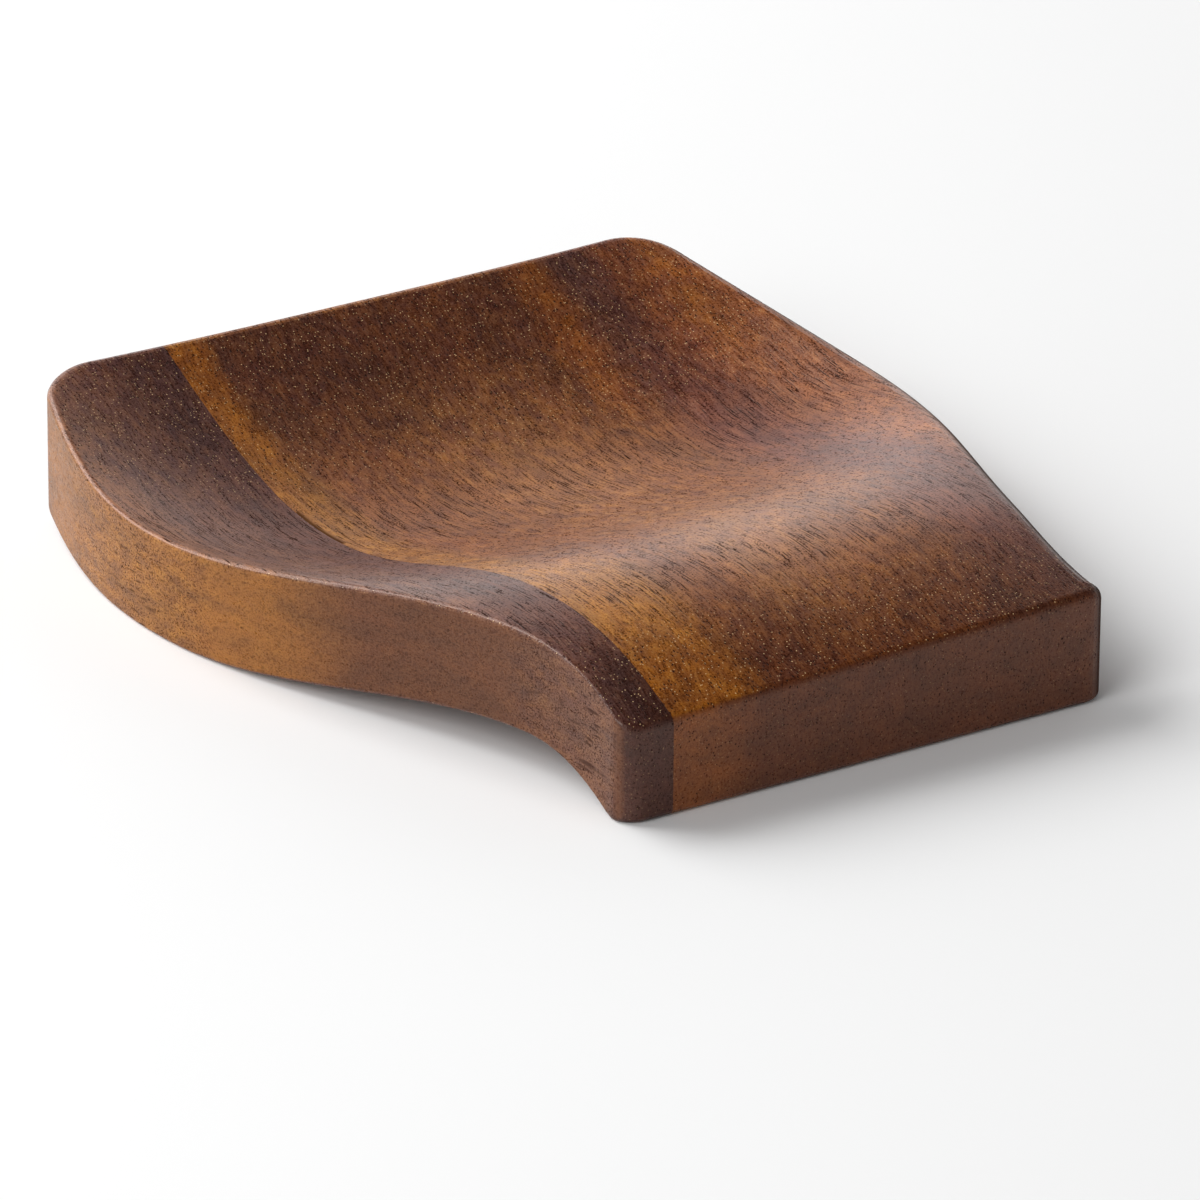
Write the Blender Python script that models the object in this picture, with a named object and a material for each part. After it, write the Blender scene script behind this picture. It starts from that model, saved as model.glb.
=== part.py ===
"""Wooden spoon rest: two edge-glued staves cut together to one wave-shaped slab.

X runs across, Y from the front end (-Y) to the back lip (+Y), Z up. The origin is on the table, under
the middle of the slab. Distances along the slab are measured from its front end, and called s below.
"""
import bpy
import bmesh
from math import atan, atan2, ceil, cos, pi, radians, sin, sqrt

# Plan
LENGTH = 0.130
FRONT_WIDTH = 0.0765
NECK_WIDTH = 0.0755
NECK_AT = 0.0075
BOWL_WIDTH = 0.117
BOWL_AT = 0.089
BACK_WIDTH = 0.099
FRONT_CORNER_RADIUS = 0.0032
BACK_CORNER_RADIUS = 0.0105

# The glue line between the staves
NARROW_STAVE_WIDTH = 0.028
GLUE_GAP = 0.0003

# Heights of the top along the middle
FRONT_HEIGHT = 0.0148
HUMP_HEIGHT = 0.0205
HUMP_AT = 0.025
HOLLOW_FLOOR = 0.0063
HOLLOW_AT = 0.087
BACK_HEIGHT = 0.0207

# Heights of the top along the side walls
RIM_HUMP_HEIGHT = 0.0196
RIM_HUMP_AT = 0.025
RIM_HOLLOW_HEIGHT = 0.0148
RIM_HOLLOW_AT = 0.088

# The hand-sanded front end is lower at its left corner than at its right one
FRONT_SKEW = 0.0013
FRONT_SKEW_LENGTH = 0.016

# Across the slab the top is level in the middle and turns up to the side walls by this power
DISH_POWER = 3

# Underside
FOOT_LENGTH = 0.004
ARCH_HEIGHT = 0.0053
ARCH_AT = 0.022
REST_LENGTH = 0.016
REST_AT = 0.086
BACK_LIFT = 0.0020

# Rounded edges: the left one is left crisp and the right one is sanded round
TOP_END_RADIUS = 0.0016
TOP_LEFT_RADIUS = 0.0006
TOP_RIGHT_RADIUS = 0.0030
BOTTOM_END_RADIUS = 0.0012
BOTTOM_SIDE_RADIUS = 0.0006

# Fineness of the mesh
ROW_SPACING = 0.0042
INNER_COLUMNS = 12
OUTER_COLUMNS = 3
STRAIGHT_SHARE = 0.88
FRONT_CORNER_STEPS = 3
BACK_CORNER_STEPS = 6
TOP_EDGE_STEPS = 3
BOTTOM_EDGE_STEPS = 2
SLOPE_STEP = 0.0001
CORNER_ROUNDS = 20
MERGE_DISTANCE = 0.000001
SHARP_ANGLE = radians(40)
CUTTER_MARGIN = 0.010

# Oiled wood: a dark board beside a lighter one
DARK_WOOD = (0.071, 0.034, 0.027, 1.0)
BROWN_WOOD = (0.205, 0.080, 0.032, 1.0)
OILED_ROUGHNESS = 0.5


def clear_scene():
    for old in list(bpy.data.objects):
        bpy.data.objects.remove(old, do_unlink=True)


def new_collection(name):
    made = bpy.data.collections.new(name)
    bpy.context.scene.collection.children.link(made)
    return made


def ease(t):
    """Half a cosine wave from 0 to 1, level at both ends."""
    return 0.5 - 0.5 * cos(pi * t)


def sweep(t):
    """A quarter of a cosine wave from 0 to 1, level at 0 only."""
    return 1.0 - cos(0.5 * pi * t)


def wave(s, front, first, first_at, second, second_at, back):
    """A value that runs from the front end over two turning points to the back lip."""
    if s < first_at:
        return first + (front - first) * sweep((first_at - s) / first_at)
    if s > second_at:
        return second + (back - second) * sweep((s - second_at) / (LENGTH - second_at))
    return first + (second - first) * ease((s - first_at) / (second_at - first_at))


def half_width(s):
    return 0.5 * wave(s, FRONT_WIDTH, NECK_WIDTH, NECK_AT, BOWL_WIDTH, BOWL_AT, BACK_WIDTH)


def top_height(x, s):
    middle = wave(s, FRONT_HEIGHT, HUMP_HEIGHT, HUMP_AT, HOLLOW_FLOOR, HOLLOW_AT, BACK_HEIGHT)
    rim = wave(s, FRONT_HEIGHT, RIM_HUMP_HEIGHT, RIM_HUMP_AT,
               RIM_HOLLOW_HEIGHT, RIM_HOLLOW_AT, BACK_HEIGHT)
    skew = FRONT_SKEW * (2.0 * x / FRONT_WIDTH) * max(1.0 - s / FRONT_SKEW_LENGTH, 0.0) ** 2
    return middle + (rim - middle) * min(abs(x) / half_width(s), 1.0) ** DISH_POWER + skew


def underside_height(s):
    """A flat foot, an arch under the hump, a flat rest under the hollow, and a lifted back."""
    rest_start = REST_AT - 0.5 * REST_LENGTH
    rest_end = REST_AT + 0.5 * REST_LENGTH
    if s <= FOOT_LENGTH or rest_start <= s <= rest_end:
        return 0.0
    if s < ARCH_AT:
        return ARCH_HEIGHT * (1.0 - sweep((ARCH_AT - s) / (ARCH_AT - FOOT_LENGTH)))
    if s < rest_start:
        return ARCH_HEIGHT * (1.0 - ease((s - ARCH_AT) / (rest_start - ARCH_AT)))
    return BACK_LIFT * sweep((s - rest_end) / (LENGTH - rest_end))


def side_normal(s):
    """Outward normal, in plan, of the right side wall."""
    slope = (half_width(s + SLOPE_STEP) - half_width(s - SLOPE_STEP)) / (2.0 * SLOPE_STEP)
    size = sqrt(1.0 + slope * slope)
    return 1.0 / size, -slope / size


def corner_arc(end, inwards, radius, steps):
    """Points and normals of the arc that joins an end face to the right side wall.

    The wall slants where the arc leaves it, so that place is found by stepping towards it.
    """
    s = end + inwards * radius
    for _ in range(CORNER_ROUNDS):
        s = end + inwards * radius + radius * side_normal(s)[1]
    across, along = side_normal(s)
    centre_x = half_width(s) - radius * across
    centre_s = s - radius * along
    side_angle = atan2(along, across)
    end_angle = -0.5 * pi * inwards
    points = []
    for i in range(steps + 1):
        angle = end_angle + (side_angle - end_angle) * i / steps
        points.append((centre_x + radius * cos(angle), centre_s + radius * sin(angle),
                       cos(angle), sin(angle)))
    return points


def right_outline():
    """The right half of the plan, from the front end to the back lip, as (x, s, normal in plan)."""
    front = corner_arc(0.0, 1.0, FRONT_CORNER_RADIUS, FRONT_CORNER_STEPS)
    back = corner_arc(LENGTH, -1.0, BACK_CORNER_RADIUS, BACK_CORNER_STEPS)
    back.reverse()
    start = front[-1][1]
    stop = back[0][1]
    turns = [FOOT_LENGTH, ARCH_AT, REST_AT - 0.5 * REST_LENGTH, REST_AT + 0.5 * REST_LENGTH]
    marks = [start] + [turn for turn in turns if start < turn < stop] + [stop]
    side = []
    for low, high in zip(marks, marks[1:]):
        count = max(int(ceil((high - low) / ROW_SPACING)), 1)
        for i in range(count):
            s = low + (high - low) * i / count
            side.append((half_width(s), s) + side_normal(s))
    return front[:-1] + side + back


def column_place(column, edge_x):
    """X of a column of the grid: even and straight in the middle, then fanning out to the walls."""
    inner = 0.5 * STRAIGHT_SHARE * min(FRONT_WIDTH, NECK_WIDTH, BACK_WIDTH)
    count = column - OUTER_COLUMNS - INNER_COLUMNS // 2
    extra = abs(count) - INNER_COLUMNS // 2
    if extra <= 0:
        return 2.0 * inner * count / INNER_COLUMNS
    return (inner + (edge_x - inner) * extra / OUTER_COLUMNS) * (1.0 if count > 0 else -1.0)


def edge_point(rows, row, column):
    """The point of the plan outline, with its normal, that a border vertex of the grid belongs to."""
    x, s, across, along = rows[row]
    if row in (0, len(rows) - 1):
        return column_place(column, x), s, 0.0, along
    if column == 0:
        return -x, s, -across, along
    return x, s, across, along


def edge_radius(along, end_radius, side_radius):
    """The ends are rounded more than the sides; along is the Y part of the normal in plan."""
    share = abs(along)
    return side_radius + (end_radius - side_radius) * share * share * (3.0 - 2.0 * share)


def top_edge(point, turn):
    """A point of the rounding from the top (turn 0) down to a wall (turn 1), along the whole rim."""
    x, s, across, along = point
    radius = edge_radius(along, TOP_END_RADIUS, TOP_RIGHT_RADIUS if across > 0.0 else TOP_LEFT_RADIUS)
    height = top_height(x, s)
    slope = (height - top_height(x - SLOPE_STEP * across, s - SLOPE_STEP * along)) / SLOPE_STEP
    tilt = atan(slope)
    angle = (0.5 * pi + tilt) * (1.0 - turn)
    inset = radius * (1.0 - cos(angle))
    centre = height - radius * (slope + 1.0 / cos(tilt))
    return x - inset * across, s - inset * along, centre + radius * sin(angle)


def bottom_edge(point, turn):
    """A point of the rounding from a wall (turn 0) down to the underside (turn 1)."""
    x, s, across, along = point
    radius = edge_radius(along, BOTTOM_END_RADIUS, BOTTOM_SIDE_RADIUS)
    angle = 0.5 * pi * turn
    inset = radius * (1.0 - cos(angle))
    inner = s - inset * along
    return x - inset * across, inner, underside_height(inner) + radius * (1.0 - sin(angle))


def place(vertex, position):
    x, s, z = position
    vertex.co = (x, s - 0.5 * LENGTH, z)


def grid_surface(bm, rows, layers, edge, height):
    """A grid of vertices over the plan, its border on the rounded edge and its inside at height(x, s)."""
    row_layer, column_layer = layers
    last = len(rows) - 1
    columns = INNER_COLUMNS + 2 * OUTER_COLUMNS
    made = bmesh.ops.create_grid(bm, x_segments=columns, y_segments=last, size=1.0)
    left = [edge(edge_point(rows, row, 0)) for row in range(last + 1)]
    right = [edge(edge_point(rows, row, columns)) for row in range(last + 1)]
    middle = [0.5 * (low[1] + high[1]) for low, high in zip(left, right)]
    for first, count in ((0, FRONT_CORNER_STEPS), (last - BACK_CORNER_STEPS, BACK_CORNER_STEPS)):
        step = (middle[first + count] - middle[first]) / count
        for i in range(1, count):
            middle[first + i] = middle[first] + step * i
    for vertex in made["verts"]:
        column = round(0.5 * (vertex.co.x + 1.0) * columns)
        row = round(0.5 * (vertex.co.y + 1.0) * last)
        vertex[row_layer] = row
        vertex[column_layer] = column
        if row in (0, last) or column in (0, columns):
            place(vertex, edge(edge_point(rows, row, column)))
        else:
            border = left[row] if 2 * column < columns else right[row]
            x = column_place(column, abs(border[0]))
            s = middle[row] + (border[1] - middle[row]) * (x / border[0]) ** 4
            place(vertex, (x, s, height(x, s)))


def slab_mesh(name):
    """The whole slab as one closed mesh: dished top, rounded rim, upright walls, arched underside."""
    rows = right_outline()
    bm = bmesh.new()
    layers = (bm.verts.layers.int.new("row"), bm.verts.layers.int.new("column"))
    grid_surface(bm, rows, layers, lambda point: top_edge(point, 0.0), top_height)
    rings = [(top_edge, i / TOP_EDGE_STEPS) for i in range(1, TOP_EDGE_STEPS + 1)]
    rings += [(bottom_edge, i / BOTTOM_EDGE_STEPS) for i in range(BOTTOM_EDGE_STEPS + 1)]
    ring = [edge for edge in bm.edges if edge.is_boundary]
    for shape, turn in rings:
        made = bmesh.ops.extrude_edge_only(bm, edges=ring)
        ring = [item for item in made["geom"] if isinstance(item, bmesh.types.BMEdge)]
        for vertex in {vertex for edge in ring for vertex in edge.verts}:
            place(vertex, shape(edge_point(rows, vertex[layers[0]], vertex[layers[1]]), turn))
    grid_surface(bm, rows, layers, lambda point: bottom_edge(point, 1.0),
                 lambda x, s: underside_height(s))
    bmesh.ops.remove_doubles(bm, verts=bm.verts[:], dist=MERGE_DISTANCE)
    bmesh.ops.recalc_face_normals(bm, faces=bm.faces[:])
    mesh = bpy.data.meshes.new(name)
    bm.to_mesh(mesh)
    bm.free()
    mesh.shade_smooth()
    mesh.set_sharp_from_angle(angle=SHARP_ANGLE)
    return mesh


def wood(name, colour):
    material = bpy.data.materials.new(name)
    material.use_nodes = True
    shader = material.node_tree.nodes["Principled BSDF"]
    shader.inputs["Base Color"].default_value = colour
    shader.inputs["Roughness"].default_value = OILED_ROUGHNESS
    shader.inputs["Metallic"].default_value = 0.0
    return material


def cutter(name, low_x, high_x, target):
    """A box that spans the slab's length and height between two planes across X."""
    height = HUMP_HEIGHT + BACK_HEIGHT + 2.0 * CUTTER_MARGIN
    bm = bmesh.new()
    bmesh.ops.create_cube(bm, size=1.0)
    bmesh.ops.scale(bm, vec=(high_x - low_x, LENGTH + 2.0 * CUTTER_MARGIN, height), verts=bm.verts[:])
    mesh = bpy.data.meshes.new(name)
    bm.to_mesh(mesh)
    bm.free()
    box = bpy.data.objects.new(name, mesh)
    box.location = (0.5 * (low_x + high_x), 0.0, 0.5 * height - CUTTER_MARGIN)
    box.hide_render = True
    box.display_type = "WIRE"
    target.objects.link(box)
    return box


def stave(name, material, box, target, parent):
    """The share of the slab that lies inside a cutter box."""
    mesh = slab_mesh(name)
    mesh.materials.append(material)
    part = bpy.data.objects.new(name, mesh)
    target.objects.link(part)
    part.parent = parent
    cut = part.modifiers.new("stave_sides", "BOOLEAN")
    cut.operation = "INTERSECT"
    cut.solver = "EXACT"
    cut.object = box
    return part


def build():
    clear_scene()
    parts = new_collection("spoon_rest")
    cutters = new_collection("spoon_rest_cutters")
    root = bpy.data.objects.new("spoon_rest_origin", None)
    parts.objects.link(root)
    seam = NARROW_STAVE_WIDTH - 0.5 * BOWL_WIDTH
    outside = 0.5 * BOWL_WIDTH + CUTTER_MARGIN
    narrow_box = cutter("narrow_stave_cutter", -outside, seam - 0.5 * GLUE_GAP, cutters)
    wide_box = cutter("wide_stave_cutter", seam + 0.5 * GLUE_GAP, outside, cutters)
    stave("narrow_stave", wood("dark_oiled_wood", DARK_WOOD), narrow_box, parts, root)
    stave("wide_stave", wood("brown_oiled_wood", BROWN_WOOD), wide_box, parts, root)


build()
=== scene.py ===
"""The looks of a wooden spoon rest: two oiled staves, glued edge to edge and cut to one wave.

Both staves come from one Geometry Nodes tree that follows the rule of the wave. Lengths are in metres,
and in the wood's materials in millimetres. X runs across, Y from the front end (-Y) to the back lip
(+Y), Z up. A distance along the slab is measured from its front end, and called s.
"""

from math import atan, cos, pi, radians, sin, sqrt

import bpy
from mathutils import Matrix, Vector

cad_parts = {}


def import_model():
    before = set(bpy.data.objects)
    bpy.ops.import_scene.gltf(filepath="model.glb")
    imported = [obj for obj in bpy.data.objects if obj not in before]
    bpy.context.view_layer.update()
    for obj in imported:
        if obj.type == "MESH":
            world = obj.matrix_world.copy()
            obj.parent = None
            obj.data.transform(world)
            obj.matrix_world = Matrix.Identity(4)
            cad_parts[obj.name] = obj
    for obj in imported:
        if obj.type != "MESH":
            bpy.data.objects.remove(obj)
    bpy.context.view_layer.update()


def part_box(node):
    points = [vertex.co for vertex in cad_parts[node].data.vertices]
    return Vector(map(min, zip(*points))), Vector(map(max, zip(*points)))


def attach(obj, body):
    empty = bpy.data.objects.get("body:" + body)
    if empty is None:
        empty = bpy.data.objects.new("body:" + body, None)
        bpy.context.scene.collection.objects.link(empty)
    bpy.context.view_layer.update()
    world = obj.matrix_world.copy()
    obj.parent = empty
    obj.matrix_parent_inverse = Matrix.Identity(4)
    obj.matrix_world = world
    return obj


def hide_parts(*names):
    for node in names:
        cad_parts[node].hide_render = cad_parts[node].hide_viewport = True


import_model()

# The glue line lies midway between the two solids of the frame
GLUE_LINE = 0.5 * (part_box("narrow_stave")[1][0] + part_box("wide_stave")[0][0])
GLUE_FILM = 0.00002

# Plan
LENGTH = 0.130
FRONT_WIDTH = 0.0765
NECK_WIDTH = 0.0755
NECK_AT = 0.0075
BOWL_WIDTH = 0.117
BOWL_AT = 0.089
BACK_WIDTH = 0.099
FRONT_CORNER_RADIUS = 0.0032
BACK_CORNER_RADIUS = 0.0105

# The left rim is left crisp, and the right one is sanded round
LEFT_RIM_RADIUS = 0.0006
RIGHT_RIM_RADIUS = 0.0030

# The sizes that the tree of the staves takes as its inputs
WAVE_SIZES = {
    "Front Height": 0.0148,
    "Hump Height": 0.0205,
    "Hump At": 0.025,
    "Hollow Floor": 0.0063,
    "Hollow At": 0.087,
    "Back Height": 0.0207,
    "Rim Hump Height": 0.0196,
    "Rim Hollow Height": 0.0148,
    "Rim Hollow At": 0.088,
    "Dish Power": 3.0,
    "Front Skew": 0.0013,
    "Front Skew Length": 0.016,
    "Foot Length": 0.004,
    "Arch Height": 0.0053,
    "Arch At": 0.022,
    "Rest Start": 0.078,
    "Rest End": 0.094,
    "Back Lift": 0.0020,
    "Top End Radius": 0.0016,
    "Bottom End Radius": 0.0012,
    "Bottom Side Radius": 0.0006,
}

# Fineness of the staves' mesh: rows run along the slab, rings down its walls
FRONT_ARC_ROWS = 8
SIDE_ROWS = 100
BACK_ARC_ROWS = 16
ROWS = FRONT_ARC_ROWS + SIDE_ROWS + BACK_ARC_ROWS
TOP_EDGE_RINGS = 6
WALL_RINGS = 8
BOTTOM_EDGE_RINGS = 4
RINGS = TOP_EDGE_RINGS + WALL_RINGS + BOTTOM_EDGE_RINGS
COLUMN_SPACING = 0.0013
SLOPE_STEP = 0.0001
CORNER_ROUNDS = 20
RIM_BLEND_POWER = 6.0
SHARP_ANGLE = radians(40)

# Values on the staves' points: how far the surface slopes down to the front, and how far it faces out
GRAIN_TILT = "grain_tilt"
SIDE_TURN = "side_turn"
LEAST_LEAN = 0.3

# The room's light by height, which is the sine of the elevation: bright near the horizon, dark above
ROOM_LIGHT = 2.1
ROOM_HEIGHTS = (
    (0.0, (1.0, 1.0, 1.0)), (0.20, (0.95, 0.95, 0.95)), (0.34, (0.42, 0.42, 0.42)),
    (0.60, (0.24, 0.24, 0.24)), (0.78, (0.02, 0.02, 0.02)))
FRONT_SHARE = 0.35
FRONT_FADE = 0.7
FLOOR_REACH = 6.0
FLOOR_COLOUR = (0.93, 0.93, 0.93, 1.0)

# The photograph's angle, seen with a long lens. Azimuth 0 looks at the front end
CAMERA_AZIMUTH = radians(-32.90)
CAMERA_ELEVATION = radians(23.55)
CAMERA_ROLL = radians(-0.46)
CAMERA_DISTANCE = 1.410
CAMERA_AIM = Vector((0.0, 0.0, 0.012))
CAMERA_LENS = 315.0
CAMERA_SHIFT = -0.0758

# The wood's lengths are in millimetres, and its places are measured from the slab's middle
MM = 1000.0

# The grain wanders by these lengths. A size is that of a noise's grains: across, along and deep
DRIFT = 1.8
DRIFT_SIZE = (24.0, 40.0, 14.0)
SWAY = 0.7
DEEP_SWAY = 1.3
SWAY_SIZE = (5.0, 16.0, 5.0)
FIBRE_SIZE = (0.35, 8.0, 0.6)
CLOUD_SIZE = (5.0, 20.0, 3.0)
MOTTLE_SIZE = (1.6, 3.2, 1.6)
GRIT_SIZE = (0.22, 0.30, 0.22)

# Where a kind of surface begins, and over what span it comes to full
END_FACE_TILT = (0.62, 0.2)
ROUGH_CUT_TILT = (0.04, 0.22)
GLINT_TILT = (0.10, 0.15)
SIDE_FACE_TURN = (0.74, 0.16)
RIM_TURN = (0.45, 0.12)
RIM_SHADE_TURN = (0.25, 0.3)
SIDE_SMOOTHNESS = 0.5

# Where the front's and the hump's bands take over, and the tilts at which the slanting cut, with its
# painted shade, shows fully
FRONT_FIGURE_TO = 5.0
FRONT_FIGURE_SPAN = 30.0
HUMP_FIGURE_TO = -18.0
HUMP_FIGURE_SPAN = 14.0
BACK_FULL_TILT = 0.42
FRONT_FULL_TILT = 0.34

# The front's raised right corner tilts the surface back, and the figure takes no notice of it
SKEW_TILT = 0.16
SKEW_REACH = 38.0
SKEW_TO = -49.0
SKEW_SPAN = 16.0

# Shades, and the texture of fibres and grit: it is strong on level cuts and weak on end faces
SHADE_LEVEL = 1.05
CLOUD_SHADE = 0.45
MOTTLE_SHADE = 0.5
END_MOTTLE_LOSS = 0.6
LEVEL_STRENGTH = 1.35
END_STRENGTH_LOSS = 0.45
FIBRE_TEXTURE = 1.4
SIDE_FIBRE_LOSS = 0.65
GRIT_TEXTURE = 1.5
SIDE_GRIT_GAIN = 0.15
PALE_SHARE = 0.42
PALE_GAMMA = 0.62
DARK_SHARE = 0.8
LEVEL_TINT = 0.6
CUT_TINT = 1.2

# Pores, and painted glints, as cell size, radius as a share of the cell, and the share of the cells that
# have one
DOTS = ((0.52, 1.1, 0.52), 0.29, 0.75)
SHORT_DASHES = ((0.42, 5.0, 0.70), 0.28, 0.8)
LONG_DASHES = ((0.42, 15.0, 1.4), 0.25, 0.9)
GLINT_SPOTS = ((0.5, 0.5, 0.5), 0.21, 0.6)
PORE_SOFTNESS = 0.5
PORE_DARKNESS = 0.97
SIDE_PORE_LOSS = 0.3
RIM_PORE_LOSS = 0.7
GLINT_STRENGTH = 0.9
END_GLINT_LOSS = 0.8

# The oiled surface. The bump's distance is in metres
ROUGHNESS = 0.37
FIBRE_ROUGHNESS = 0.25
GRIT_ROUGHNESS = 0.15
FIBRE_HEIGHT = 0.35
GRIT_HEIGHT = 0.25
PORE_DEPTH = 0.5
BUMP_STRENGTH = 0.5
BUMP_DISTANCE = 0.0001
SHEEN_TINT = (1.0, 0.88, 0.78, 1.0)

# The dark matt colour of the pores and the dark grit, and of the painted shade on the rim
PORE_AND_SHADE = (0.022, 0.009, 0.007, 1.0)
# The colour of a painted glint, a bright spot that stands in for a glint of light
GLINT_COLOUR = (0.85, 0.58, 0.30, 1.0)
GOLD_TINT = (1.14, 1.22, 0.95, 1.0)
PURPLE_TINT = (0.86, 0.78, 1.10, 1.0)

# Oiled wood cut along its grain
AMBER = (0.320, 0.108, 0.010)
BROWN = (0.226, 0.065, 0.014)
WARM_BROWN = (0.245, 0.076, 0.018)
ORANGE = (0.290, 0.100, 0.027)
PURPLE = (0.147, 0.036, 0.016)
TAN = (0.245, 0.067, 0.017)
UMBER = (0.152, 0.052, 0.028)
SMOKE = (0.107, 0.029, 0.016)
COPPER = (0.225, 0.068, 0.018)

# The same wood where the cut slants over its fibres on a slope that faces the front. It is darker partly
# because the cut crosses the fibres, and partly as painted shade: the fibres' lustre, which changes with
# light and view, is put into the colour.
DEEP_AMBER = (0.215, 0.058, 0.004)
DEEP_BROWN = (0.085, 0.022, 0.008)
DEEP_WARM_BROWN = (0.105, 0.027, 0.008)
DEEP_ORANGE = (0.165, 0.041, 0.006)
DEEP_PURPLE = (0.070, 0.022, 0.014)
DEEP_COPPER = (0.145, 0.036, 0.007)
DEEP_UMBER = (0.088, 0.026, 0.014)
DEEP_SMOKE = (0.060, 0.018, 0.012)
FRONT_AMBER = (0.230, 0.063, 0.003)
FRONT_BROWN = (0.112, 0.025, 0.003)
FRONT_SHADE = (0.090, 0.020, 0.004)
FRONT_DEEP = (0.070, 0.015, 0.003)
FRONT_SMOKE = (0.042, 0.009, 0.004)

# End grain
END_AMBER = (0.175, 0.044, 0.006)
END_BROWN = (0.092, 0.022, 0.006)
END_SMOKE = (0.050, 0.012, 0.007)

# The outer wall of the dark board, where its sapwood is near
WALL_GOLD = (0.245, 0.083, 0.008)
WALL_BROWN = (0.104, 0.030, 0.008)
WALL_RED = (0.112, 0.037, 0.015)

# Bands of colour across each board, for each way in which it is cut
BANDS_FROM = -60.0
BANDS_SPAN = 120.0
WIDE_FIGURE = {
    "level": (
        (-25.5, AMBER), (-21.5, BROWN), (-12.0, BROWN), (-5.0, WARM_BROWN), (3.0, ORANGE),
        (11.0, ORANGE), (19.0, WARM_BROWN), (27.0, BROWN), (34.0, PURPLE), (41.0, PURPLE),
        (46.0, TAN), (52.0, TAN)),
    # The hump's and the front's bands darken towards the right rim, partly as painted shade that tempers
    # the sheen there
    "hump": (
        (-20.0, AMBER), (-14.5, BROWN), (-9.0, BROWN), (-4.0, ORANGE), (5.0, ORANGE),
        (11.0, WARM_BROWN), (20.0, BROWN), (30.0, PURPLE), (38.0, SMOKE)),
    "back": (
        (-26.0, DEEP_AMBER), (-23.5, DEEP_BROWN), (-6.0, DEEP_BROWN), (4.0, DEEP_WARM_BROWN),
        (13.0, DEEP_WARM_BROWN), (22.0, DEEP_BROWN), (26.0, DEEP_ORANGE), (28.5, DEEP_ORANGE),
        (31.5, DEEP_PURPLE), (36.0, DEEP_PURPLE), (40.0, DEEP_COPPER), (43.5, DEEP_COPPER),
        (46.0, DEEP_AMBER), (51.0, DEEP_ORANGE), (55.0, DEEP_COPPER)),
    "front": (
        (-19.5, FRONT_AMBER), (-14.5, FRONT_SHADE), (-9.0, FRONT_SHADE), (-3.0, FRONT_BROWN),
        (10.0, FRONT_BROWN), (18.0, FRONT_SHADE), (24.0, FRONT_DEEP), (32.0, FRONT_DEEP),
        (37.0, FRONT_SMOKE)),
    "end": ((-24.0, END_AMBER), (-17.0, END_BROWN), (40.0, END_BROWN)),
    "wall": ((30.0, DEEP_PURPLE), (38.0, DEEP_BROWN), (44.0, DEEP_COPPER), (54.0, COPPER)),
}
NARROW_LEVEL = ((-58.0, COPPER), (-54.0, COPPER), (-50.0, UMBER), (-42.0, UMBER), (-36.0, SMOKE))
NARROW_FIGURE = {
    "level": NARROW_LEVEL,
    "hump": NARROW_LEVEL,
    "back": ((-58.0, DEEP_COPPER), (-52.0, DEEP_UMBER), (-43.0, DEEP_UMBER), (-36.0, DEEP_SMOKE)),
    "front": ((-40.0, DEEP_WARM_BROWN), (-36.5, DEEP_SMOKE), (-32.0, FRONT_SMOKE)),
    "end": ((-48.0, END_BROWN), (-38.0, END_SMOKE)),
    "wall": ((-53.5, WALL_GOLD), (-48.0, WALL_BROWN), (-40.0, WALL_BROWN), (-37.5, WALL_RED)),
}


class Wire:
    """An output socket of a node tree. Arithmetic on it adds Math nodes to the tree."""

    def __init__(self, graph, socket):
        self.graph = graph
        self.socket = socket

    def math(self, operation, *others):
        return self.graph.math(operation, self, *others)

    def __add__(self, other):
        return self.math("ADD", other)

    def __radd__(self, other):
        return self.math("ADD", other)

    def __sub__(self, other):
        return self.math("SUBTRACT", other)

    def __rsub__(self, other):
        return self.graph.math("SUBTRACT", other, self)

    def __mul__(self, other):
        return self.math("MULTIPLY", other)

    def __rmul__(self, other):
        return self.math("MULTIPLY", other)

    def __truediv__(self, other):
        return self.math("DIVIDE", other)

    def __pow__(self, other):
        return self.math("POWER", other)

    def __neg__(self):
        return self.math("MULTIPLY", -1.0)

    def __lt__(self, other):
        return self.math("LESS_THAN", other)

    def __gt__(self, other):
        return self.math("GREATER_THAN", other)

    def __abs__(self):
        return self.math("ABSOLUTE")


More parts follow.
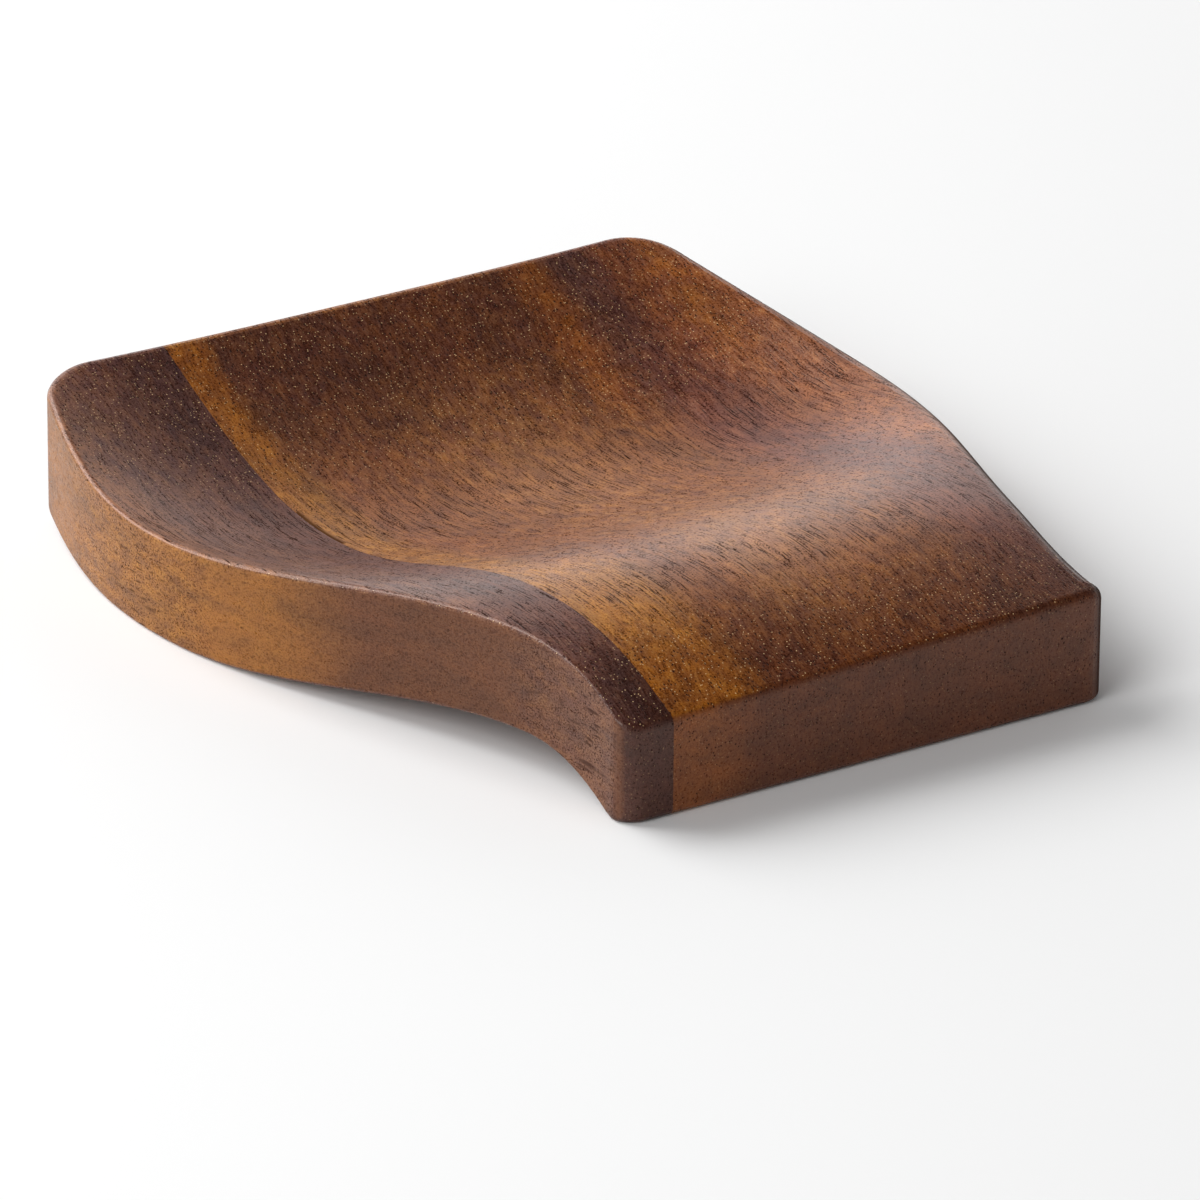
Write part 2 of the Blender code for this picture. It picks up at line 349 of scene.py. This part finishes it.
class Graph:
    """A node tree, and the one way in which this script adds nodes to it."""

    def __init__(self, tree):
        self.tree = tree

    def node(self, kind, settings=None, inputs=None):
        """A new node. Settings come first, and a ramp's stops are one of them."""
        node = self.tree.nodes.new(kind)
        for name, value in (settings or {}).items():
            if name == "stops":
                self.set_stops(node.color_ramp, value)
            else:
                setattr(node, name, value)
        for key, value in (inputs or {}).items():
            if isinstance(value, Wire):
                self.tree.links.new(value.socket, node.inputs[key])
            else:
                node.inputs[key].default_value = value
        return node

    def out(self, kind, settings=None, inputs=None, output=0):
        return Wire(self, self.node(kind, settings, inputs).outputs[output])

    def parts(self, vector):
        """The X, Y and Z of a vector."""
        return [Wire(self, part) for part in self.node("ShaderNodeSeparateXYZ", {}, {0: vector}).outputs]

    def math(self, operation, *values):
        return self.out("ShaderNodeMath", {"operation": operation}, dict(enumerate(values)))

    def vector(self, *parts):
        return self.out("ShaderNodeCombineXYZ", {}, dict(enumerate(parts)))

    def attribute(self, name):
        """A value that is stored on the points."""
        return self.out("ShaderNodeAttribute", {"attribute_name": name}, {}, 2)

    def scaled(self, place, size):
        """A place counted in cells of a given size."""
        return self.vector(*(part / length for part, length in zip(place, size)))

    def noise(self, place, size, detail=2.0):
        """Soft noise about 0, mostly between -0.5 and 0.5, with grains of a given size."""
        inputs = {"Vector": self.scaled(place, size), "Scale": 1.0, "Detail": detail}
        return 2.0 * self.out("ShaderNodeTexNoise", {"noise_dimensions": "3D"}, inputs) - 1.0

    def mix(self, share, first, second, blend="MIX"):
        settings = {"data_type": "RGBA", "blend_type": blend}
        return self.out("ShaderNodeMix", settings, {0: share, 6: first, 7: second}, 2)

    def set_stops(self, ramp, stops):
        while len(ramp.elements) < len(stops):
            ramp.elements.new(1.0)
        for element, (place, colour) in zip(ramp.elements, stops):
            element.position = place
            element.color = (*colour, 1.0)


def cosine(value):
    return value.math("COSINE") if isinstance(value, Wire) else cos(value)


def clamped(value):
    if isinstance(value, Wire):
        return value.math("MAXIMUM", 0.0).math("MINIMUM", 1.0)
    return min(max(value, 0.0), 1.0)


def rise(value, start, span):
    """0 up to a start, and 1 from a span beyond it."""
    return clamped((value - start) / span)


def between(low, high, share):
    return low + (high - low) * share


def ease(t):
    """Half a cosine wave from 0 to 1, level at both ends."""
    return 0.5 - 0.5 * cosine(pi * clamped(t))


def sweep(t):
    """A quarter of a cosine wave from 0 to 1, level at 0 only."""
    return 1.0 - cosine(0.5 * pi * clamped(t))


def wave(s, front, first, first_at, second, second_at, back):
    """A value that runs from the front end over two turning points to the back lip."""
    start = (front - first) * sweep((first_at - s) / first_at)
    middle = (second - first) * ease((s - first_at) / (second_at - first_at))
    end = (back - second) * sweep((s - second_at) / (LENGTH - second_at))
    return first + start + middle + end


def half_width(s):
    return 0.5 * wave(s, FRONT_WIDTH, NECK_WIDTH, NECK_AT, BOWL_WIDTH, BOWL_AT, BACK_WIDTH)


def wall_slope(s):
    return (half_width(s + SLOPE_STEP) - half_width(s - SLOPE_STEP)) / (2.0 * SLOPE_STEP)


def corner_arc(end, inwards, radius):
    """Centre (x, s) of the arc between an end face and the right wall, the wall's angle and its place.

    The wall slants where the arc leaves it, so that place is found by stepping towards it.
    """
    s = end + inwards * radius
    for _ in range(CORNER_ROUNDS):
        slope = wall_slope(s)
        s = end + inwards * radius - radius * slope / sqrt(1.0 + slope * slope)
    angle = -atan(wall_slope(s))
    return half_width(s) - radius * cos(angle), s - radius * sin(angle), angle, s


def top_height(size, x, s):
    """The height of the top, which is dished towards the middle and skewed at the front end."""
    middle = wave(s, size["Front Height"], size["Hump Height"], size["Hump At"],
                  size["Hollow Floor"], size["Hollow At"], size["Back Height"])
    rim = wave(s, size["Front Height"], size["Rim Hump Height"], size["Hump At"],
               size["Rim Hollow Height"], size["Rim Hollow At"], size["Back Height"])
    fade = (1.0 - s / size["Front Skew Length"]).math("MAXIMUM", 0.0)
    skew = size["Front Skew"] * (2.0 * x / FRONT_WIDTH) * fade * fade
    return middle + (rim - middle) * clamped(abs(x) / half_width(s)) ** size["Dish Power"] + skew


def underside_height(size, s):
    """A flat foot, an arch under the hump, a flat rest under the hollow, and a lifted back."""
    arch_at = size["Arch At"]
    front_side = 1.0 - sweep((arch_at - s) / (arch_at - size["Foot Length"]))
    back_side = 1.0 - ease((s - arch_at) / (size["Rest Start"] - arch_at))
    lift = sweep((s - size["Rest End"]) / (LENGTH - size["Rest End"]))
    return size["Arch Height"] * front_side * back_side + size["Back Lift"] * lift


def rim_tilt(size, x, s, across, along, radius):
    """The angle at which the top rises outwards, just inside its rounded edge."""
    outer = top_height(size, x - radius * across, s - radius * along)
    inset = radius + SLOPE_STEP
    inner = top_height(size, x - inset * across, s - inset * along)
    return ((outer - inner) / SLOPE_STEP).math("ARCTANGENT")


def rim_inset(top_radius, tilt, top_turn, bottom_radius, bottom_turn):
    """How far the rounded edges draw a ring of the wall inwards."""
    top_angle = (0.5 * pi + tilt) * (1.0 - top_turn)
    bottom_angle = 0.5 * pi * bottom_turn
    return top_radius * (1.0 - cosine(top_angle)) + bottom_radius * (1.0 - cosine(bottom_angle))


def outer_wall(row):
    """The wall's place (x, s) in plan and the direction of its normal, for a row of the right half."""
    front_x, front_s, front_angle, side_start = corner_arc(0.0, 1.0, FRONT_CORNER_RADIUS)
    back_x, back_s, back_angle, side_end = corner_arc(LENGTH, -1.0, BACK_CORNER_RADIUS)
    in_front = row < FRONT_ARC_ROWS
    in_back = row > ROWS - BACK_ARC_ROWS
    s = between(side_start, side_end, clamped((row - FRONT_ARC_ROWS) / SIDE_ROWS))
    side = 1.0 - in_front - in_back
    front_turn = between(-0.5 * pi, front_angle, clamped(row / FRONT_ARC_ROWS))
    back_turn = between(0.5 * pi, back_angle, clamped((ROWS - row) / BACK_ARC_ROWS))
    angle = in_front * front_turn + in_back * back_turn - side * wall_slope(s).math("ARCTANGENT")
    across = cosine(angle)
    along = angle.math("SINE")
    radius = in_front * FRONT_CORNER_RADIUS + in_back * BACK_CORNER_RADIUS
    wall_x = in_front * front_x + in_back * back_x + side * half_width(s) + radius * across
    wall_s = in_front * front_s + in_back * back_s + side * s + radius * along
    return wall_x, wall_s, across, along


def stave_shape(size, box_place):
    """Where a point of a 2 x 2 x 2 box goes on the stave: its walls stay walls and its faces faces."""
    side = size["Outer Side"]
    out = 0.5 + 0.5 * side * box_place[0]
    row = 0.5 * ROWS * (box_place[1] + 1.0)
    ring = 0.5 * RINGS * (1.0 - box_place[2])
    top_turn = clamped(ring / TOP_EDGE_RINGS)
    wall_share = rise(ring, TOP_EDGE_RINGS, WALL_RINGS)
    bottom_turn = rise(ring, TOP_EDGE_RINGS + WALL_RINGS, BOTTOM_EDGE_RINGS)

    wall_x, s, across, along = outer_wall(row)
    x = between(size["Glue Line"], side * wall_x, out)
    end_share = s / LENGTH
    rim_share = out ** RIM_BLEND_POWER

    # Edges of the outer wall, whose radius grows round the corners to that of the end faces
    steep = abs(along)
    blend = steep * steep * (3.0 - 2.0 * steep)
    wall_top_radius = between(size["Top Side Radius"], size["Top End Radius"], blend)
    wall_bottom_radius = between(size["Bottom Side Radius"], size["Bottom End Radius"], blend)
    wall_tilt = rim_tilt(size, side * wall_x, s, side * across, along, wall_top_radius)

    # Edges of the two end faces
    end_top_radius = size["Top End Radius"]
    front_tilt = rim_tilt(size, x, 0.0, 0.0, -1.0, end_top_radius)
    back_tilt = rim_tilt(size, x, LENGTH, 0.0, 1.0, end_top_radius)
    end_tilt = between(front_tilt, back_tilt, end_share)

    def drawn_in(top_turn, bottom_turn):
        """The point of the plan once the rounded edges have drawn it in."""
        wall_inset = rim_inset(wall_top_radius, wall_tilt, top_turn, wall_bottom_radius, bottom_turn)
        end_inset = rim_inset(end_top_radius, end_tilt, top_turn, size["Bottom End Radius"], bottom_turn)
        shift = between(end_inset * (1.0 - 2.0 * end_share), -along * wall_inset, rim_share)
        return x - side * across * wall_inset * out, s + shift

    top_radius = between(end_top_radius, wall_top_radius, rim_share)
    bottom_radius = between(size["Bottom End Radius"], wall_bottom_radius, rim_share)
    tilt = between(end_tilt, wall_tilt, rim_share)
    top_angle = (0.5 * pi + tilt) * (1.0 - top_turn)
    drop = top_radius * (cosine(tilt) - top_angle.math("SINE"))
    upper = top_height(size, *drawn_in(0.0, 0.0)) - drop
    new_x, new_s = drawn_in(top_turn, bottom_turn)
    raised = bottom_radius * (1.0 - (0.5 * pi * bottom_turn).math("SINE"))
    lower = underside_height(size, new_s) + raised
    return new_x, new_s - 0.5 * LENGTH, between(upper, lower, wall_share)


def with_cut_values(graph, size, stave):
    """Stores on the stave's points how its surface lies to the fibres, for its material."""
    turn, forward, upward = graph.parts(graph.out("GeometryNodeInputNormal"))
    lean = (forward * forward + upward * upward).math("SQRT").math("MAXIMUM", LEAST_LEAN)
    for name, value in ((GRAIN_TILT, -forward / lean), (SIDE_TURN, size["Outer Side"] * turn)):
        stave = graph.out("GeometryNodeStoreNamedAttribute", {"data_type": "FLOAT", "domain": "POINT"},
                          {"Geometry": stave, "Name": name, "Value": value})
    return stave


def stave_tree():
    """The Geometry Nodes tree of a stave: a box whose points are set to the rule of the wave."""
    tree = bpy.data.node_groups.new("wave_cut_stave", "GeometryNodeTree")
    tree.interface.new_socket("Stave", in_out="OUTPUT", socket_type="NodeSocketGeometry")
    for name in ("Outer Side", "Glue Line", "Top Side Radius", *WAVE_SIZES):
        tree.interface.new_socket(name, in_out="INPUT", socket_type="NodeSocketFloat")
    tree.interface.new_socket("Columns", in_out="INPUT", socket_type="NodeSocketInt")
    tree.interface.new_socket("Wood", in_out="INPUT", socket_type="NodeSocketMaterial")
    graph = Graph(tree)
    sockets = graph.node("NodeGroupInput").outputs
    size = {socket.name: Wire(graph, socket) for socket in sockets if socket.name}

    box = graph.out("GeometryNodeMeshCube", {}, {
        "Size": (2.0, 2.0, 2.0),
        "Vertices X": size["Columns"],
        "Vertices Y": ROWS + 1,
        "Vertices Z": RINGS + 1,
    })
    shape = stave_shape(size, graph.parts(graph.out("GeometryNodeInputPosition")))
    position = graph.vector(*shape)
    stave = graph.out("GeometryNodeSetPosition", {}, {"Geometry": box, "Position": position})
    stave = with_cut_values(graph, size, stave)
    sharp = graph.out("GeometryNodeInputMeshEdgeAngle") > SHARP_ANGLE
    stave = graph.out("GeometryNodeSetShadeSmooth", {"domain": "EDGE"},
                      {"Geometry": stave, "Selection": sharp, "Shade Smooth": False})
    stave = graph.out("GeometryNodeRealizeInstances", {}, {"Geometry": stave})
    stave = graph.out("GeometryNodeSetMaterial", {}, {"Geometry": stave, "Material": size["Wood"]})
    graph.node("NodeGroupOutput", {}, {0: stave})
    return tree


def set_inputs(modifier, values):
    """Sets a Geometry Nodes modifier's inputs, which are known by their sockets' identifiers."""
    for item in modifier.node_group.interface.items_tree:
        if item.in_out == "INPUT" and item.name in values:
            modifier[item.identifier] = values[item.name]


def made_plain(piece):
    """Turns what the modifiers make of a piece into its own mesh, and removes them."""
    evaluated = piece.evaluated_get(bpy.context.evaluated_depsgraph_get())
    mesh = bpy.data.meshes.new_from_object(evaluated)
    mesh.name = piece.name
    piece.modifiers.clear()
    piece.data = mesh


def linked(name, data):
    """A new object in the scene."""
    thing = bpy.data.objects.new(name, data)
    bpy.context.scene.collection.objects.link(thing)
    return thing


def stave(name, node, slot, tree, side, rim_radius, material):
    """One board of the slab. Its outer side is -1 on the left and 1 on the right."""
    piece = linked(name, bpy.data.meshes.new(name))
    glue_line = GLUE_LINE + 0.5 * side * GLUE_FILM
    columns = round(abs(side * 0.5 * BOWL_WIDTH - glue_line) / COLUMN_SPACING) + 1
    shape = piece.modifiers.new("wave_cut", "NODES")
    shape.node_group = tree
    set_inputs(shape, {"Outer Side": side, "Glue Line": glue_line, "Columns": columns,
                       "Top Side Radius": rim_radius, "Wood": material, **WAVE_SIZES})
    made_plain(piece)
    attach(piece, "root")
    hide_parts(node)


def new_material(name):
    material = bpy.data.materials.new(name)
    material.use_nodes = True
    material.node_tree.nodes.clear()
    return material, Graph(material.node_tree)


def pores_and_glints(graph, place, cell, radius, share):
    """1 in the middle of a spot and 0 outside: the spots are pores, and also painted glints. They are
    short tubes along Y, in a share of the cells.
    """
    cells = graph.node("ShaderNodeTexVoronoi", {}, {"Vector": graph.scaled(place, cell), "Scale": 1.0})
    distance, colour = [Wire(graph, cells.outputs[name]) for name in ("Distance", "Color")]
    return clamped((radius - distance) / (PORE_SOFTNESS * radius)) * (colour < share)


def bands(graph, across, stops):
    places = tuple(((place - BANDS_FROM) / BANDS_SPAN, colour) for place, colour in stops)
    share = (across - BANDS_FROM) / BANDS_SPAN
    return graph.out("ShaderNodeValToRGB", {"stops": places}, {0: share})


def figure_colour(graph, figure, x, y, across, tilt, end_face, side_face):
    """The colour of the bands that show: the cut runs along the fibres, slants over or crosses them.
    Slopes that face the front take darker colours, partly as painted shade for the fibres' lustre.
    """
    level, hump, back, front, end, wall = [
        bands(graph, across, figure[cut]) for cut in ("level", "hump", "back", "front", "end", "wall")]
    in_front = ease((FRONT_FIGURE_TO - y) / FRONT_FIGURE_SPAN)
    on_hump = ease((HUMP_FIGURE_TO - y) / HUMP_FIGURE_SPAN)
    unskewed = tilt + SKEW_TILT * clamped(x / SKEW_REACH) * clamped((SKEW_TO - y) / SKEW_SPAN)
    slant = clamped(unskewed / between(BACK_FULL_TILT, FRONT_FULL_TILT, in_front))
    along_fibres = graph.mix(on_hump, level, hump)
    slanting_cut_and_shade = graph.mix(in_front, back, front)
    colour = graph.mix(slant * slant, along_fibres, slanting_cut_and_shade)
    colour = graph.mix(end_face, colour, end)
    return graph.mix(side_face, colour, wall)


def wood(name, figure, rim_roughness, rim_shade):
    """Open-pored oiled wood whose fibres run along Y. The rim shade is how far its outer rim goes towards
    a dark matt shader: partly a matt finish without sheen, partly painted shade.
    """
    material, graph = new_material(name)
    coordinates = graph.node("ShaderNodeTexCoord")
    surface = [MM * part for part in graph.parts(Wire(graph, coordinates.outputs["Object"]))]
    x, y, z = surface
    tilt = graph.attribute(GRAIN_TILT)
    turn = graph.attribute(SIDE_TURN)

    # The grain wanders a little on its way along the board
    drift = graph.noise(surface, DRIFT_SIZE)
    sway = graph.noise(surface, SWAY_SIZE)
    across = x + DRIFT * drift + SWAY * sway
    in_grain = (across, y, z + DEEP_SWAY * sway)

    # How the surface lies to the fibres
    end_face = rise(abs(tilt), *END_FACE_TILT)
    side_face = rise(turn, *SIDE_FACE_TURN)
    rough_cut = rise(abs(tilt), *ROUGH_CUT_TILT) * (1.0 - SIDE_SMOOTHNESS * side_face)
    on_rim = rise(turn, *RIM_TURN) * (1.0 - side_face)

    # Clouds and mottle shade the bands
    clouds = graph.noise(in_grain, CLOUD_SIZE, 3.0)
    mottle = graph.noise(in_grain, MOTTLE_SIZE, 3.0) * (1.0 - END_MOTTLE_LOSS * end_face)
    shade = SHADE_LEVEL + CLOUD_SHADE * clouds + MOTTLE_SHADE * mottle
    colour = figure_colour(graph, figure, x, y, across, tilt, end_face, side_face)
    colour = graph.mix(1.0, colour, shade, "MULTIPLY")

    # Fibres and a fine grit are paler than the wood where they are above 0, and dark below it
    fibres = graph.noise(in_grain, FIBRE_SIZE, 3.0)
    grit = graph.noise(surface, GRIT_SIZE, 1.0)
    fibre_strength = FIBRE_TEXTURE * (1.0 - SIDE_FIBRE_LOSS * side_face)
    grit_strength = GRIT_TEXTURE * (1.0 + SIDE_GRIT_GAIN * side_face)
    strength = between(LEVEL_STRENGTH, 1.0, rough_cut) * (1.0 - END_STRENGTH_LOSS * end_face)
    texture = strength * (fibre_strength * fibres + grit_strength * grit)
    pale = graph.out("ShaderNodeGamma", {}, {"Color": colour, "Gamma": PALE_GAMMA})
    colour = graph.mix(clamped(PALE_SHARE * texture), colour, pale)
    tint = graph.mix(0.5 + between(LEVEL_TINT, CUT_TINT, rough_cut) * mottle, PURPLE_TINT, GOLD_TINT)
    colour = graph.mix(1.0, colour, tint, "MULTIPLY")

    # Pores are dots where fibres are cut across, and dashes where the cut runs along them
    dots = pores_and_glints(graph, in_grain, *DOTS)
    dashes = pores_and_glints(graph, in_grain, *SHORT_DASHES).math("MAXIMUM", pores_and_glints(graph, in_grain, *LONG_DASHES))
    tubes = between(dashes, dots, rough_cut) * (1.0 - SIDE_PORE_LOSS * side_face)
    hollows = (PORE_DARKNESS * tubes).math("MAXIMUM", clamped(-DARK_SHARE * texture))
    hollows = hollows * (1.0 - RIM_PORE_LOSS * on_rim)
    # Painted shade: the outer rim of the top goes towards the dark matt shader, which takes its sheen
    # away and darkens its colour
    painted_rim_shade = rim_shade * rise(turn, *RIM_SHADE_TURN) * (1.0 - side_face)

    # Painted glints: bright spots put into the colour on the slopes that face the front
    glint_zone = rise(tilt, *GLINT_TILT) * (1.0 - END_GLINT_LOSS * end_face) * (1.0 - side_face)
    painted_glints = pores_and_glints(graph, surface, *GLINT_SPOTS) * glint_zone
    colour = graph.mix(GLINT_STRENGTH * painted_glints, colour, GLINT_COLOUR)

    roughness = ROUGHNESS + rim_roughness * on_rim + FIBRE_ROUGHNESS * fibres + GRIT_ROUGHNESS * grit
    height = FIBRE_HEIGHT * fibres + GRIT_HEIGHT * grit - PORE_DEPTH * tubes
    normal = graph.out("ShaderNodeBump", {}, {
        "Strength": BUMP_STRENGTH, "Distance": BUMP_DISTANCE, "Height": height})
    oiled = graph.out("ShaderNodeBsdfPrincipled", {}, {
        "Base Color": colour, "Roughness": roughness, "Normal": normal, "Specular Tint": SHEEN_TINT})
    matt = graph.out("ShaderNodeBsdfPrincipled", {}, {
        "Base Color": PORE_AND_SHADE, "Roughness": 1.0, "Specular IOR Level": 0.0})
    shader = graph.out("ShaderNodeMixShader", {}, {0: hollows.math("MAXIMUM", painted_rim_shade), 1: oiled, 2: matt})
    graph.node("ShaderNodeOutputMaterial", {}, {"Surface": shader})
    return material


def camera():
    azimuth, elevation, roll = CAMERA_AZIMUTH, CAMERA_ELEVATION, CAMERA_ROLL
    look = Vector((-sin(azimuth) * cos(elevation), cos(azimuth) * cos(elevation), -sin(elevation)))
    level = Vector((cos(azimuth), sin(azimuth), 0.0))
    upright = level.cross(look)
    right = level * cos(roll) - upright * sin(roll)
    up = upright * cos(roll) + level * sin(roll)
    lens = bpy.data.cameras.new("camera")
    lens.sensor_width = 36.0
    lens.lens = CAMERA_LENS
    lens.shift_y = CAMERA_SHIFT
    lens.clip_end = 100.0
    eye = linked("camera", lens)
    turn = Matrix((right, up, -look)).transposed().to_4x4()
    eye.matrix_world = Matrix.Translation(CAMERA_AIM - look * CAMERA_DISTANCE) @ turn
    bpy.context.scene.camera = eye


def floor():
    mesh = bpy.data.meshes.new("floor")
    corners = [(x * FLOOR_REACH, y * FLOOR_REACH, 0.0) for x, y in ((-1, -1), (1, -1), (1, 1), (-1, 1))]
    mesh.from_pydata(corners, [], [(0, 1, 2, 3)])
    sheet = linked("floor", mesh)
    material, graph = new_material("white_table")
    shader = graph.out("ShaderNodeBsdfPrincipled", {}, {
        "Base Color": FLOOR_COLOUR, "Roughness": 0.9, "Specular IOR Level": 0.1})
    graph.node("ShaderNodeOutputMaterial", {}, {"Surface": shader})
    mesh.materials.append(material)


def lamp(name, azimuth, elevation, distance, width, power):
    """A soft square lamp that looks at the spoon rest. Azimuth 0 is behind it, and 90 to its right."""
    light = bpy.data.lights.new(name, "AREA")
    light.size = width
    light.energy = power
    turn = radians(azimuth)
    climb = radians(elevation)
    away = Vector((sin(turn) * cos(climb), cos(turn) * cos(climb), sin(climb)))
    head = linked(name, light)
    head.location = away * distance
    head.rotation_euler = away.to_track_quat("Z", "Y").to_euler()


def world():
    """A white room that is bright up to a height above the horizon, under a dark ceiling."""
    scene = bpy.context.scene
    scene.world = bpy.data.worlds.new("studio")
    scene.world.use_nodes = True
    scene.world.node_tree.nodes.clear()
    graph = Graph(scene.world.node_tree)
    _, backwards, height = graph.parts(graph.out("ShaderNodeTexCoord"))
    light = graph.out("ShaderNodeValToRGB", {"stops": ROOM_HEIGHTS}, {0: height})
    strength = ROOM_LIGHT * between(FRONT_SHARE, 1.0, ease(0.5 + FRONT_FADE * backwards))
    shader = graph.out("ShaderNodeBackground", {}, {"Color": light, "Strength": strength})
    graph.node("ShaderNodeOutputWorld", {}, {"Surface": shader})


tree = stave_tree()
stave("visual_narrow_stave", "narrow_stave", "dark_wood", tree, -1.0, LEFT_RIM_RADIUS,
      wood("dark_oiled_wood", NARROW_FIGURE, rim_roughness=-0.1, rim_shade=0.0))
stave("visual_wide_stave", "wide_stave", "brown_wood", tree, 1.0, RIGHT_RIM_RADIUS,
      wood("brown_oiled_wood", WIDE_FIGURE, rim_roughness=0.25, rim_shade=0.75))
camera()
floor()
lamp("key", azimuth=-28.0, elevation=41.0, distance=1.3, width=1.0, power=17.5)
lamp("left", azimuth=-110.0, elevation=35.0, distance=1.3, width=0.7, power=6.0)
world()
bpy.context.scene.view_settings.view_transform = "Standard"
